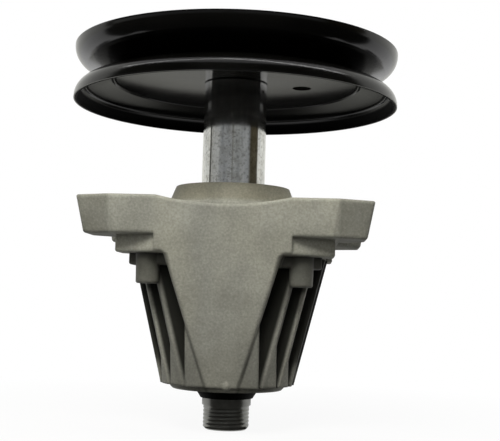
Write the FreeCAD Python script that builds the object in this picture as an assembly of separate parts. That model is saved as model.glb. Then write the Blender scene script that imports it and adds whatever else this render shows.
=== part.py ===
import FreeCAD, Part
import math
import os

# Mower deck spindle, all sizes in millimetres.
# Frame: origin on the deck mounting face at the middle of the bolt pattern, +Z up the shaft
# to the pulley, -Y towards the front wall of the casting.

# Pulley
PULLEY_RADIUS = 79.375
SHEET = 1.5
WEB_UNDERSIDE = 61.4
FLANK_START_RADIUS = 59.6
FLANK_ANGLE = 17.0
LIP_BEND_RADIUS = 8.5
LIP_REACH = 13.0
LOCK_HOLE_RADIUS = 4.65
LOCK_HOLE_X = 32.5
LOCK_HOLE_Y = 6.5

# Shaft
JOURNAL_RADIUS = 12.5
SHOULDER_RADIUS = 15.2
SHANK_RADIUS = 11.8
BLADE_THREAD_RADIUS = 11.11
SHOULDER_END = -88.5
THREAD_START = -95.8
SHAFT_END = -107.4
END_CHAMFER = 1.3
DRIVE_RADIUS = 9.5
DRIVE_FLAT = 7.6
DRIVE_STEP_BELOW_WEB = 1.2
SHAFT_ABOVE_NUT = 2.6

# Clearances
FIT = 0.01
SEAL_GAP = 0.08
BALL_GAP = 0.06
POCKET_GAP = 0.15
DRIVE_GAP = 0.1
NUT_GAP = 0.05
SPACER_GAP = 0.08

# Rolling bearings, size 6005 with two seals
BEARING_OUTER_RADIUS = 23.5
BEARING_WIDTH = 12.0
BALL_SHARE = 0.3
TRACK_DEPTH = 0.7
BALL_COUNT = 10
BEARING_SECTION = BEARING_OUTER_RADIUS - JOURNAL_RADIUS
BALL_RADIUS = BALL_SHARE * BEARING_SECTION
RING_WALL = BEARING_SECTION / 2 - BALL_RADIUS + TRACK_DEPTH
INNER_RING_RADIUS = JOURNAL_RADIUS + RING_WALL
OUTER_RING_INNER_RADIUS = BEARING_OUTER_RADIUS - RING_WALL
RING_EDGE = 0.6
SEAL_THICKNESS = 0.9
SEAL_RECESS = 0.25
CAGE_RIM = 0.5
CAGE_HALF_HEIGHT = BALL_RADIUS + POCKET_GAP + CAGE_RIM
CAGE_HALF_WALL = 0.9
UPPER_BEARING_TOP = 5.0
LOWER_BEARING_BOTTOM = -83.5

# Spacers, dust ring and fasteners
SPACER_TUBE_RADIUS = 15.5
TUBE_END_CHAMFER = 0.5
INNER_SPACER_RADIUS = 15.0
DUST_RING_END = -92.4
DUST_RING_END_RADIUS = 12.7
RETAINING_RING_THICKNESS = 1.2
RETAINING_RING_WALL = 2.9
RETAINING_GROOVE_DEPTH = 1.1
RETAINING_RING_OPENING = 9.0
LUG_RADIUS = 2.6
LUG_HOLE_RADIUS = 1.0
WASHER_RADIUS = 17.5
WASHER_THICKNESS = 3.0
NUT_ACROSS_FLATS = 28.575
NUT_HEIGHT = 14.5
NUT_CHAMFER_ANGLE = 30.0

# Casting, flange and collar
COLLAR_TOP = 9.1
COLLAR_WALL = 4.4
COLLAR_FLARE = 3.6
COLLAR_TOP_RADIUS = BEARING_OUTER_RADIUS + COLLAR_WALL
COLLAR_BASE_RADIUS = COLLAR_TOP_RADIUS + COLLAR_FLARE
COLLAR_ROOT = 1.0
FLANGE_HALF_LENGTH = 67.2
FLANGE_FRONT = 53.5
FLANGE_CORNER_LENGTH = 15.8
FLANGE_CORNER_DEPTH = 7.5
FLANGE_THICKNESS = 17.1
FLANGE_SIDE_DRAFT = 10.3
FLANGE_ROUND = 1.6
SCALLOP_HALF_WIDTH = 30.0
SCALLOP_DEPTH = 3.4
TOP_EDGE_ROUND = 0.8
WAIST_DEPTH = 12.0
WAIST_HALF_WIDTH = 14.0
EAR_INNER_Y = 24.0

# Casting, body below the flange
WALL_BOTTOM = -85.5
WALL_BOTTOM_DISTANCE = 32.3
WALL_THICKNESS = 5.5
WALL_SHOULDER_HALF_WIDTH = 30.9
WALL_V_TOP_HALF_WIDTH = 26.6
WALL_V_BOTTOM_HALF_WIDTH = 7.9
WALL_CORNER_ROUND = 2.0
WALL_EDGE_CHAMFER = 1.2
PIER_HALF_WIDTH = 16.8
PIER_FLARE_DISTANCE = 38.6
PIER_STEP_TOP = 0.5
PIER_STEP_BOTTOM = 1.8
NUB_RADIUS = 2.4
NUB_REACH = 1.2
NUB_X = 2.2
NUB_Z = -84.3
HUB_WALL = 4.0
HUB_RADIUS = BEARING_OUTER_RADIUS + HUB_WALL
HUB_BOTTOM = -88.0
HUB_EDGE = 1.0
SECOND_STEP_DEPTH = 8.0
SECOND_STEP_CORNERS = [(30.9, 46.5), (50.0, 38.0), (50.0, 24.0), (45.0, 19.0)]
THIRD_STEP_DEPTH = 5.4
THIRD_STEP_CORNERS = [(23.0, 41.0), (44.3, 33.0), (44.3, 22.0), (40.0, 18.0)]
STEP_ROUND = 1.2

# Fins of one quarter from the front wall to the side: a plan point on the middle line and its angle
FIN_THICKNESS = 1.7
FIN_LINES = [(24.75, 28.8, 24.0), (31.15, 20.3, 19.6), (36.0, 9.5, 8.0), (38.0, 0.0, 0.0)]
POCKET_FLOORS = [PIER_HALF_WIDTH, 24.5, 29.8, 31.5]

# Screw bosses
BOSS_RADIUS = 5.9
BOSS_DRAFT = 1.5
BOSS_BOTTOM = -39.0
BOSS_ROUND = 1.0
BOLT_SPACING = 70.0
BOLT_HOLE_RADIUS = 3.5
BOLT_HOLE_DEPTH = 32.0
BOLT_HOLE_POINT = 2.0
BORE_LAND = 0.6
BORE_SHOULDER_RADIUS = OUTER_RING_INNER_RADIUS - BORE_LAND

CUT_MARGIN = 5.0
UP = FreeCAD.Vector(0, 0, 1)
ORIGIN = FreeCAD.Vector(0, 0, 0)


def revolve(points):
    """Solid of revolution about Z from a closed list of (radius, height) points."""
    corners = [FreeCAD.Vector(radius, 0, height) for radius, height in points]
    wire = Part.makePolygon(corners + [corners[0]])
    return Part.Face(wire).revolve(ORIGIN, UP, 360)


def cylinder(radius, bottom, top, x=0.0, y=0.0):
    """Upright round bar between two heights."""
    return Part.makeCylinder(radius, top - bottom, FreeCAD.Vector(x, y, bottom), UP)


def tube(inner, outer, bottom, top):
    """Plain upright tube between two heights."""
    return revolve([(inner, bottom), (outer, bottom), (outer, top), (inner, top)])


def prism(points, bottom, top):
    """Upright prism on a closed list of plan points."""
    corners = [FreeCAD.Vector(x, y, bottom) for x, y in points]
    face = Part.Face(Part.makePolygon(corners + [corners[0]]))
    return face.extrude(FreeCAD.Vector(0, 0, top - bottom))


def mirrored_four_ways(shape):
    """The shape together with its images in the XZ and YZ planes."""
    pair = shape.fuse(shape.mirror(ORIGIN, FreeCAD.Vector(1, 0, 0)))
    return pair.fuse(pair.mirror(ORIGIN, FreeCAD.Vector(0, 1, 0)))


def full_outline(quadrant):
    """Closed plan outline from the points of the quadrant +X, +Y, listed from +Y round to +X."""
    right = quadrant + [(x, -y) for x, y in reversed(quadrant)]
    return right + [(-x, y) for x, y in reversed(right)]


def wall_distance(height):
    """Distance of the sloping front wall plane from the axis at a height."""
    slope = (FLANGE_FRONT - WALL_BOTTOM_DISTANCE) / -WALL_BOTTOM
    return FLANGE_FRONT + slope * height


def flange_outline(height):
    """Plan outline of the flange with its four ears, drawn in by the draft at a height."""
    length = FLANGE_HALF_LENGTH + height * math.tan(math.radians(FLANGE_SIDE_DRAFT))
    front = wall_distance(height)
    return full_outline([(length - FLANGE_CORNER_LENGTH, front), (length, front - FLANGE_CORNER_DEPTH),
                         (length, EAR_INNER_Y), (length - WAIST_DEPTH, WAIST_HALF_WIDTH)])


def polygon_at(points, height):
    """Closed wire through plan points at one height."""
    corners = [FreeCAD.Vector(x, y, height) for x, y in points]
    return Part.makePolygon(corners + [corners[0]])


def edges_at_height(shape, height):
    """Straight edges of a shape that lie in one level plane."""
    chosen = []
    for edge in shape.Edges:
        box = edge.BoundBox
        if abs(box.ZMin - height) < 0.01 and abs(box.ZMax - height) < 0.01:
            chosen.append(edge)
    return chosen


def make_flange():
    """Thick mounting flange with drafted sides, cut corners and a rounded lower edge."""
    bottom = -FLANGE_THICKNESS
    top_wire = polygon_at(flange_outline(0.0), 0.0)
    bottom_wire = polygon_at(flange_outline(bottom), bottom)
    block = Part.makeLoft([bottom_wire, top_wire], True, True)
    corner_edges = [edge for edge in block.Edges if edge.BoundBox.ZLength > FLANGE_ROUND]
    block = block.makeFillet(FLANGE_ROUND, corner_edges)
    lower_edges = []
    for edge in edges_at_height(block, bottom):
        if abs(edge.CenterOfMass.y) < wall_distance(bottom) - 0.5:
            lower_edges.append(edge)
    return block.makeFillet(FLANGE_ROUND, lower_edges)


def make_scallop():
    """Shallow trough cutters that drop the front and back edges of the mounting face."""
    radius = (SCALLOP_HALF_WIDTH ** 2 + SCALLOP_DEPTH ** 2) / (2 * SCALLOP_DEPTH)
    start = FreeCAD.Vector(0, COLLAR_BASE_RADIUS - COLLAR_ROOT, radius - SCALLOP_DEPTH)
    bar = Part.makeCylinder(radius, FLANGE_FRONT, start, FreeCAD.Vector(0, 1, 0))
    return bar.fuse(bar.mirror(ORIGIN, FreeCAD.Vector(0, 1, 0)))


def round_top_edge(flange):
    """Small round where the mounting face and its troughs meet the front and back of the flange."""
    chosen = []
    for edge in flange.Edges:
        middle = edge.CenterOfMass
        level = edge.BoundBox.ZMin > -SCALLOP_DEPTH - TOP_EDGE_ROUND
        outside = abs(middle.y) > wall_distance(middle.z) - TOP_EDGE_ROUND
        if level and outside and edge.BoundBox.XLength > SCALLOP_DEPTH:
            chosen.append(edge)
    return flange.makeFillet(TOP_EDGE_ROUND, chosen)


def chamfer_wall(wall):
    """Slanted sides along the two V edges of the wall face."""
    chosen = []
    for edge in wall.Edges:
        middle = edge.CenterOfMass
        on_face = abs(-middle.y - wall_distance(middle.z)) < 0.01
        if on_face and edge.BoundBox.ZLength > FLANGE_THICKNESS:
            chosen.append(edge)
    return wall.makeChamfer(WALL_EDGE_CHAMFER, chosen)


def make_front_wall():
    """Sloping V wall on the front, flush with the flange and joined to the hub at its foot."""
    step = -FLANGE_THICKNESS
    shoulder = step - SECOND_STEP_DEPTH
    right = [
        (WALL_V_BOTTOM_HALF_WIDTH, WALL_BOTTOM),
        (WALL_V_TOP_HALF_WIDTH, shoulder),
        (WALL_SHOULDER_HALF_WIDTH, shoulder),
        (WALL_SHOULDER_HALF_WIDTH, step + FLANGE_ROUND),
    ]
    outline = right + [(-x, z) for x, z in reversed(right)]
    corners = [FreeCAD.Vector(x, 0, z) for x, z in outline]
    face = Part.Face(Part.makePolygon(corners + [corners[0]]))
    block = face.extrude(FreeCAD.Vector(0, -FLANGE_FRONT - CUT_MARGIN, 0))
    inner_corners = []
    for edge in block.Edges:
        middle = edge.CenterOfMass
        on_v_top = abs(abs(middle.x) - WALL_V_TOP_HALF_WIDTH) < 0.01
        if edge.BoundBox.YLength > FLANGE_FRONT and on_v_top:
            inner_corners.append(edge)
    block = block.makeFillet(WALL_CORNER_ROUND, inner_corners)
    profile = [
        (-wall_distance(0.0), 0.0),
        (-wall_distance(WALL_BOTTOM), WALL_BOTTOM),
        (WALL_THICKNESS - wall_distance(WALL_BOTTOM), WALL_BOTTOM),
        (WALL_THICKNESS - wall_distance(0.0), 0.0),
    ]
    edge_points = [FreeCAD.Vector(-FLANGE_HALF_LENGTH, y, z) for y, z in profile]
    slab_face = Part.Face(Part.makePolygon(edge_points + [edge_points[0]]))
    slab = slab_face.extrude(FreeCAD.Vector(2 * FLANGE_HALF_LENGTH, 0, 0))
    return chamfer_wall(block.common(slab))


def step_plate(corners, bottom, top):
    """Plate with a pad at each of its four corners, all lower edges rounded."""
    plate = prism(full_outline(corners), bottom, top)
    upright = [edge for edge in plate.Edges if edge.BoundBox.ZLength > STEP_ROUND]
    plate = plate.makeFillet(STEP_ROUND, upright)
    return plate.makeFillet(STEP_ROUND, edges_at_height(plate, bottom))


def make_steps():
    """The two stepped plates under the flange."""
    first_bottom = -FLANGE_THICKNESS - SECOND_STEP_DEPTH
    second_bottom = first_bottom - THIRD_STEP_DEPTH
    upper = step_plate(SECOND_STEP_CORNERS, first_bottom, -FLANGE_THICKNESS + FLANGE_ROUND)
    lower = step_plate(THIRD_STEP_CORNERS, second_bottom, first_bottom + STEP_ROUND)
    return upper.fuse(lower)


def pier_distance(height):
    """Distance of the recessed face beside the V wall from the axis at a height."""
    foot = WALL_BOTTOM_DISTANCE - PIER_STEP_BOTTOM
    top = FLANGE_FRONT - PIER_STEP_TOP
    return top + (top - foot) / -WALL_BOTTOM * height


def make_pier():
    """Upright pier behind the V wall: straight sides near the hub, then flared at 45 degrees."""
    top = -FLANGE_THICKNESS
    reach = FLANGE_FRONT - PIER_FLARE_DISTANCE
    right = [(PIER_HALF_WIDTH, 0), (PIER_HALF_WIDTH, -PIER_FLARE_DISTANCE),
             (PIER_HALF_WIDTH + reach, -FLANGE_FRONT)]
    block = prism(right + [(-x, y) for x, y in reversed(right)], WALL_BOTTOM, top)
    profile = [(0, WALL_BOTTOM), (-pier_distance(WALL_BOTTOM), WALL_BOTTOM),
               (-pier_distance(top), top), (0, top)]
    corners = [FreeCAD.Vector(-FLANGE_HALF_LENGTH, y, z) for y, z in profile]
    wedge = Part.Face(Part.makePolygon(corners + [corners[0]]))
    return block.common(wedge.extrude(FreeCAD.Vector(2 * FLANGE_HALF_LENGTH, 0, 0)))


def fin_face(fin, side, x):
    """Plan point at x on one face of a fin: side 1 is the face nearer the front wall, -1 the other."""
    start_x, start_y, angle = fin
    turn = math.radians(angle)
    middle = start_y + (x - start_x) * math.tan(turn)
    return (x, middle + side * FIN_THICKNESS / 2 / math.cos(turn))


def make_pockets():
    """Upright cutters between the fins; each ends on a flat floor, so the fins grow thick at the root."""
    bottom = WALL_BOTTOM - CUT_MARGIN
    reach = FLANGE_FRONT + CUT_MARGIN
    pockets = []
    for number, floor in enumerate(POCKET_FLOORS):
        fin = FIN_LINES[number]
        far_side = [fin_face(fin, 1, reach), fin_face(fin, 1, floor)]
        if number == 0:
            near_side = [(floor, reach), (reach, reach)]
        else:
            previous = FIN_LINES[number - 1]
            near_side = [fin_face(previous, -1, floor), fin_face(previous, -1, reach)]
        pockets.append(prism(near_side + far_side, bottom, -FLANGE_THICKNESS))
    return mirrored_four_ways(pockets[0].multiFuse(pockets[1:]))


def make_finned_body():
    """Tapered body under the flange with the pockets taken out, which leaves the fins."""
    top = -FLANGE_THICKNESS
    cone = revolve([(0, WALL_BOTTOM), (WALL_BOTTOM_DISTANCE, WALL_BOTTOM),
                    (wall_distance(top), top), (0, top)])
    return cone.cut(make_pockets())


def bolt_points():
    """Plan places of the four deck screws."""
    half = BOLT_SPACING / 2
    return [(half, half), (-half, half), (-half, -half), (half, -half)]


def make_bosses():
    """Round screw bosses that hang below the flange."""
    top = -FLANGE_THICKNESS + FLANGE_ROUND
    foot = BOSS_RADIUS - (top - BOSS_BOTTOM) * math.tan(math.radians(BOSS_DRAFT))
    bosses = []
    for x, y in bolt_points():
        boss = revolve([(0, BOSS_BOTTOM), (foot, BOSS_BOTTOM), (BOSS_RADIUS, top), (0, top)])
        boss = boss.makeFillet(BOSS_ROUND, edges_at_height(boss, BOSS_BOTTOM))
        boss.translate(FreeCAD.Vector(x, y, 0))
        bosses.append(boss)
    return bosses


def make_bolt_hole(x, y):
    """Blind screw hole with a drill point, open at the mounting face."""
    floor = -BOLT_HOLE_DEPTH
    hole = revolve([(0, floor - BOLT_HOLE_POINT), (BOLT_HOLE_RADIUS, floor), (BOLT_HOLE_RADIUS, CUT_MARGIN),
                    (0, CUT_MARGIN)])
    hole.translate(FreeCAD.Vector(x, y, 0))
    return hole


def make_bore():
    """Stepped bore for two bearings, with a groove for each retaining ring."""
    seat = BEARING_OUTER_RADIUS + FIT
    groove = BEARING_OUTER_RADIUS + RETAINING_GROOVE_DEPTH
    upper_floor = UPPER_BEARING_TOP - BEARING_WIDTH
    lower_roof = LOWER_BEARING_BOTTOM + BEARING_WIDTH
    upper_ring_top = UPPER_BEARING_TOP + RETAINING_RING_THICKNESS
    lower_ring_bottom = LOWER_BEARING_BOTTOM - RETAINING_RING_THICKNESS
    return revolve([
        (0, HUB_BOTTOM - CUT_MARGIN), (seat, HUB_BOTTOM - CUT_MARGIN),
        (seat, lower_ring_bottom), (groove, lower_ring_bottom),
        (groove, LOWER_BEARING_BOTTOM), (seat, LOWER_BEARING_BOTTOM),
        (seat, lower_roof), (BORE_SHOULDER_RADIUS, lower_roof),
        (BORE_SHOULDER_RADIUS, upper_floor), (seat, upper_floor),
        (seat, UPPER_BEARING_TOP), (groove, UPPER_BEARING_TOP),
        (groove, upper_ring_top), (seat, upper_ring_top),
        (seat, COLLAR_TOP + CUT_MARGIN), (0, COLLAR_TOP + CUT_MARGIN),
    ])


def make_nub():
    """Small round casting mark low on the front wall."""
    sunk = NUB_RADIUS - NUB_REACH
    return Part.makeSphere(NUB_RADIUS, FreeCAD.Vector(NUB_X, sunk - wall_distance(NUB_Z), NUB_Z))


def make_housing():
    """The casting: flange, collar, stepped underside, front and back walls, fins and hub."""
    hub = revolve([(0, HUB_BOTTOM), (HUB_RADIUS - HUB_EDGE, HUB_BOTTOM), (HUB_RADIUS, HUB_BOTTOM + HUB_EDGE),
                   (HUB_RADIUS, -FLANGE_THICKNESS), (0, -FLANGE_THICKNESS)])
    collar_foot = -SCALLOP_DEPTH - COLLAR_ROOT
    collar = revolve([(0, collar_foot), (COLLAR_BASE_RADIUS, collar_foot), (COLLAR_BASE_RADIUS, 0),
                      (COLLAR_TOP_RADIUS, COLLAR_TOP), (0, COLLAR_TOP)])
    front = make_front_wall().fuse(make_pier())
    back = front.mirror(ORIGIN, FreeCAD.Vector(0, 1, 0))
    flange = round_top_edge(make_flange().cut(make_scallop()))
    pieces = [collar, hub, make_steps(), front, back, make_nub(), make_finned_body()] + make_bosses()
    casting = flange.multiFuse(pieces).removeSplitter()
    cutters = [make_bolt_hole(x, y) for x, y in bolt_points()]
    return casting.cut(make_bore()).cut(Part.makeCompound(cutters))


def make_shaft():
    """Turned spindle with a blade thread below and a flatted, threaded drive end above."""
    step = WEB_UNDERSIDE - DRIVE_STEP_BELOW_WEB
    top = WEB_UNDERSIDE + 2 * SHEET + WASHER_THICKNESS + NUT_HEIGHT + SHAFT_ABOVE_NUT
    lower = revolve([
        (0, SHAFT_END), (BLADE_THREAD_RADIUS - END_CHAMFER, SHAFT_END),
        (BLADE_THREAD_RADIUS, SHAFT_END + END_CHAMFER), (BLADE_THREAD_RADIUS, THREAD_START),
        (SHANK_RADIUS, THREAD_START), (SHANK_RADIUS, SHOULDER_END),
        (SHOULDER_RADIUS, SHOULDER_END), (SHOULDER_RADIUS, LOWER_BEARING_BOTTOM),
        (JOURNAL_RADIUS, LOWER_BEARING_BOTTOM), (JOURNAL_RADIUS, step), (0, step),
    ])
    drive = revolve([(0, step), (DRIVE_RADIUS, step), (DRIVE_RADIUS, top - END_CHAMFER),
                     (DRIVE_RADIUS - END_CHAMFER, top), (0, top)])
    return lower.fuse(drive.common(drive_slab(DRIVE_FLAT, step, top))).removeSplitter()


def drive_slab(half_width, bottom, top):
    """Slab that gives the drive end its two flats."""
    reach = DRIVE_RADIUS + CUT_MARGIN
    return prism([(-half_width, -reach), (half_width, -reach), (half_width, reach), (-half_width, reach)],
                 bottom, top)


def make_pulley_half():
    """Pressed half of the V pulley above its joint plane: web, groove flank, bend and lip."""
    angle = math.radians(FLANK_ANGLE)
    bend_x = PULLEY_RADIUS - LIP_BEND_RADIUS
    flank_end = bend_x + LIP_BEND_RADIUS * math.sin(angle)
    flank_rise = (flank_end - FLANK_START_RADIUS) * math.tan(angle)
    bend_z = flank_rise + LIP_BEND_RADIUS * math.cos(angle)
    inner_bend = LIP_BEND_RADIUS - SHEET
    inner_flank_end = bend_x + inner_bend * math.sin(angle)
    inner_flank_rise = bend_z - inner_bend * math.cos(angle)
    inner_start = inner_flank_end - (inner_flank_rise - SHEET) / math.tan(angle)

    def point(radius, height):
        return FreeCAD.Vector(radius, 0, height)

    def bend_point(radius, turn):
        return point(bend_x + radius * math.cos(turn), bend_z + radius * math.sin(turn))

    half_turn = (angle - math.pi / 2) / 2
    outer_arc = Part.Arc(point(flank_end, flank_rise), bend_point(LIP_BEND_RADIUS, half_turn),
                         point(PULLEY_RADIUS, bend_z)).toShape()
    inner_arc = Part.Arc(point(PULLEY_RADIUS - SHEET, bend_z), bend_point(inner_bend, half_turn),
                         point(inner_flank_end, inner_flank_rise)).toShape()
    edges = [
        Part.makeLine(point(0, 0), point(FLANK_START_RADIUS, 0)),
        Part.makeLine(point(FLANK_START_RADIUS, 0), point(flank_end, flank_rise)),
        outer_arc,
        Part.makeLine(point(PULLEY_RADIUS, bend_z), point(PULLEY_RADIUS, LIP_REACH)),
        Part.makeLine(point(PULLEY_RADIUS, LIP_REACH), point(PULLEY_RADIUS - SHEET, LIP_REACH)),
        Part.makeLine(point(PULLEY_RADIUS - SHEET, LIP_REACH), point(PULLEY_RADIUS - SHEET, bend_z)),
        inner_arc,
        Part.makeLine(point(inner_flank_end, inner_flank_rise), point(inner_start, SHEET)),
        Part.makeLine(point(inner_start, SHEET), point(0, SHEET)),
        Part.makeLine(point(0, SHEET), point(0, 0)),
    ]
    disc = Part.Face(Part.Wire(edges)).revolve(ORIGIN, UP, 360)
    bore = cylinder(DRIVE_RADIUS + DRIVE_GAP, -CUT_MARGIN, CUT_MARGIN)
    bore = bore.common(drive_slab(DRIVE_FLAT + DRIVE_GAP, -CUT_MARGIN, CUT_MARGIN))
    hole = cylinder(LOCK_HOLE_RADIUS, -CUT_MARGIN, CUT_MARGIN, LOCK_HOLE_X, LOCK_HOLE_Y)
    return disc.cut(bore).cut(hole)


def make_pulley():
    """Both halves, web to web on the joint plane."""
    joint = FreeCAD.Vector(0, 0, WEB_UNDERSIDE + SHEET)
    upper = make_pulley_half()
    lower = upper.mirror(ORIGIN, UP)
    upper.translate(joint)
    lower.translate(joint)
    return upper, lower


def make_washer():
    """Flat washer under the pulley nut."""
    bottom = WEB_UNDERSIDE + 2 * SHEET
    return tube(DRIVE_RADIUS + DRIVE_GAP, WASHER_RADIUS, bottom, bottom + WASHER_THICKNESS)


def make_nut():
    """Hexagon nut with chamfered corners on top."""
    bottom = WEB_UNDERSIDE + 2 * SHEET + WASHER_THICKNESS
    corner = NUT_ACROSS_FLATS / 2 / math.cos(math.pi / 6)
    points = [(corner * math.cos(k * math.pi / 3), corner * math.sin(k * math.pi / 3)) for k in range(6)]
    hexagon = prism(points, bottom, bottom + NUT_HEIGHT)
    flat = NUT_ACROSS_FLATS / 2
    drop = (corner + CUT_MARGIN - flat) * math.tan(math.radians(NUT_CHAMFER_ANGLE))
    top = bottom + NUT_HEIGHT
    reach = corner + CUT_MARGIN
    cone = revolve([(0, bottom), (reach, bottom), (reach, top - drop), (flat, top), (0, top)])
    return hexagon.common(cone).cut(cylinder(DRIVE_RADIUS + NUT_GAP, bottom - CUT_MARGIN, top + CUT_MARGIN))


def make_retaining_ring(bottom):
    """Open spring ring for a bore, with two lugs that carry plier holes."""
    top = bottom + RETAINING_RING_THICKNESS
    outer = BEARING_OUTER_RADIUS + RETAINING_GROOVE_DEPTH - FIT
    inner = outer - RETAINING_RING_WALL
    ring = tube(inner, outer, bottom, top)
    half = RETAINING_RING_OPENING / 2
    ring = ring.cut(prism([(-half, 0), (half, 0), (half, -2 * outer), (-half, -2 * outer)], bottom, top))
    for side in (-1, 1):
        x = side * (half + LUG_RADIUS)
        y = -math.sqrt(inner ** 2 - x ** 2) + LUG_RADIUS / 2
        lug = cylinder(LUG_RADIUS, bottom, top, x, y)
        ring = ring.fuse(lug).cut(cylinder(LUG_HOLE_RADIUS, bottom, top, x, y))
    return ring.removeSplitter()


def make_bearing(bottom):
    """One sealed ball bearing as its rings, balls, cage and two seals."""
    top = bottom + BEARING_WIDTH
    middle = bottom + BEARING_WIDTH / 2
    pitch = (INNER_RING_RADIUS + OUTER_RING_INNER_RADIUS) / 2
    bore = JOURNAL_RADIUS + FIT
    track = Part.makeTorus(pitch, BALL_RADIUS + BALL_GAP, FreeCAD.Vector(0, 0, middle), UP)
    outer = revolve([
        (OUTER_RING_INNER_RADIUS, bottom), (BEARING_OUTER_RADIUS - RING_EDGE, bottom),
        (BEARING_OUTER_RADIUS, bottom + RING_EDGE), (BEARING_OUTER_RADIUS, top - RING_EDGE),
        (BEARING_OUTER_RADIUS - RING_EDGE, top), (OUTER_RING_INNER_RADIUS, top),
    ]).cut(track)
    inner = tube(bore, INNER_RING_RADIUS, bottom, top).cut(track)
    cage = tube(pitch - CAGE_HALF_WALL, pitch + CAGE_HALF_WALL,
                middle - CAGE_HALF_HEIGHT, middle + CAGE_HALF_HEIGHT)
    balls = []
    for k in range(BALL_COUNT):
        turn = 2 * math.pi * k / BALL_COUNT
        out = FreeCAD.Vector(math.cos(turn), math.sin(turn), 0)
        balls.append(Part.makeSphere(BALL_RADIUS, out * pitch + FreeCAD.Vector(0, 0, middle)))
        start = out * INNER_RING_RADIUS + FreeCAD.Vector(0, 0, middle)
        reach = OUTER_RING_INNER_RADIUS - INNER_RING_RADIUS
        cage = cage.cut(Part.makeCylinder(BALL_RADIUS + POCKET_GAP, reach, start, out))
    seal_inner = INNER_RING_RADIUS + SEAL_GAP
    low = bottom + SEAL_RECESS
    high = top - SEAL_RECESS
    low_seal = tube(seal_inner, OUTER_RING_INNER_RADIUS, low, low + SEAL_THICKNESS)
    high_seal = tube(seal_inner, OUTER_RING_INNER_RADIUS, high - SEAL_THICKNESS, high)
    return {
        "outer_ring": outer,
        "inner_ring": inner,
        "balls": Part.makeCompound(balls),
        "cage": cage,
        "seals": Part.makeCompound([low_seal, high_seal]),
    }


def make_spacer_tube():
    """Bright tube that holds the pulley off the upper bearing."""
    inner = JOURNAL_RADIUS + SPACER_GAP
    chamfered = SPACER_TUBE_RADIUS - TUBE_END_CHAMFER
    return revolve([
        (inner, UPPER_BEARING_TOP), (chamfered, UPPER_BEARING_TOP),
        (SPACER_TUBE_RADIUS, UPPER_BEARING_TOP + TUBE_END_CHAMFER),
        (SPACER_TUBE_RADIUS, WEB_UNDERSIDE - TUBE_END_CHAMFER), (chamfered, WEB_UNDERSIDE),
        (inner, WEB_UNDERSIDE),
    ])


def make_inner_spacer():
    """Tube on the shaft between the two inner rings."""
    bottom = LOWER_BEARING_BOTTOM + BEARING_WIDTH
    return tube(JOURNAL_RADIUS + SPACER_GAP, INNER_SPACER_RADIUS, bottom, UPPER_BEARING_TOP - BEARING_WIDTH)


def make_dust_ring():
    """Black cone shaped ring on the shank, against the shaft shoulder."""
    bore = SHANK_RADIUS + FIT
    return revolve([(bore, SHOULDER_END), (bore, DUST_RING_END), (DUST_RING_END_RADIUS, DUST_RING_END),
                    (SHOULDER_RADIUS, SHOULDER_END)])


def build():
    """All nodes of the spindle by name."""
    upper_half, lower_half = make_pulley()
    nodes = {
        "spindle_housing": make_housing(),
        "spindle_shaft": make_shaft(),
        "spacer_tube": make_spacer_tube(),
        "inner_spacer": make_inner_spacer(),
        "dust_ring": make_dust_ring(),
        "pulley_upper_half": upper_half,
        "pulley_lower_half": lower_half,
        "pulley_washer": make_washer(),
        "pulley_nut": make_nut(),
        "upper_retaining_ring": make_retaining_ring(UPPER_BEARING_TOP),
        "lower_retaining_ring": make_retaining_ring(LOWER_BEARING_BOTTOM - RETAINING_RING_THICKNESS),
    }
    bottoms = {"upper": UPPER_BEARING_TOP - BEARING_WIDTH, "lower": LOWER_BEARING_BOTTOM}
    for place, bottom in bottoms.items():
        for piece, shape in make_bearing(bottom).items():
            nodes[place + "_bearing_" + piece] = shape
    return nodes


os.makedirs("parts", exist_ok=True)
for name, shape in build().items():
    shape.exportStep("parts/" + name + ".step")
    print(name, "valid", shape.isValid(), "solids", len(shape.Solids), "volume", round(shape.Volume, 1))
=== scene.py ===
# %% [markdown]
# # Mower deck spindle
# This lesson dresses a mower deck spindle for a studio picture. The solid parts come from a packed
# model, which is loaded first and never moved. Every cell after that adds a finish or a finer surface.

# %% Load the solid parts
import math
import bmesh
import bpy
import numpy as np
from mathutils import Matrix, Vector


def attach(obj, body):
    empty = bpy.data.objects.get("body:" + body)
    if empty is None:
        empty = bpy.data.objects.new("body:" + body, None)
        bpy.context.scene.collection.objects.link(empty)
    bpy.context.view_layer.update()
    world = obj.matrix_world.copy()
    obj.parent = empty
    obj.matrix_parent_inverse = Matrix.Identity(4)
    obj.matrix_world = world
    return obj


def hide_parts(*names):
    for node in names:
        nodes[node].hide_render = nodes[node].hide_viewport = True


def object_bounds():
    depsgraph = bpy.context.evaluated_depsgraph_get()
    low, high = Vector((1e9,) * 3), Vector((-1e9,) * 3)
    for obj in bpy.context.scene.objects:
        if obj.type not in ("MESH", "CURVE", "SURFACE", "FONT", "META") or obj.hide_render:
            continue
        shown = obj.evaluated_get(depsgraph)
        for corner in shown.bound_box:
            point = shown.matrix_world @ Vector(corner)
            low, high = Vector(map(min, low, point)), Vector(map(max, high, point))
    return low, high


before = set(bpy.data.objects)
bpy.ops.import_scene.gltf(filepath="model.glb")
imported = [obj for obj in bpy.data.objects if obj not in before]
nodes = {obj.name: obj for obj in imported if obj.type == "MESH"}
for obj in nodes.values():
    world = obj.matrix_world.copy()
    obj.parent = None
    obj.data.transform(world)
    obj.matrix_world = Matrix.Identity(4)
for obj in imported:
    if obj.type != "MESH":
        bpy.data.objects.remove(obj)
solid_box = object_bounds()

scene = bpy.context.scene
scene.view_settings.view_transform = "Standard"
print("nodes loaded:", len(nodes), "box:", solid_box)

# %% [markdown]
# The camera stands at the height of the fins and looks slightly up, so the pulley is seen from below.
# It is tipped by less than two degrees, as a hand-held camera is. A camera is only a matrix: its
# columns are the right, up and backward directions. Working those out from four angles keeps every
# number readable, where dragging a camera by hand would not.

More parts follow.
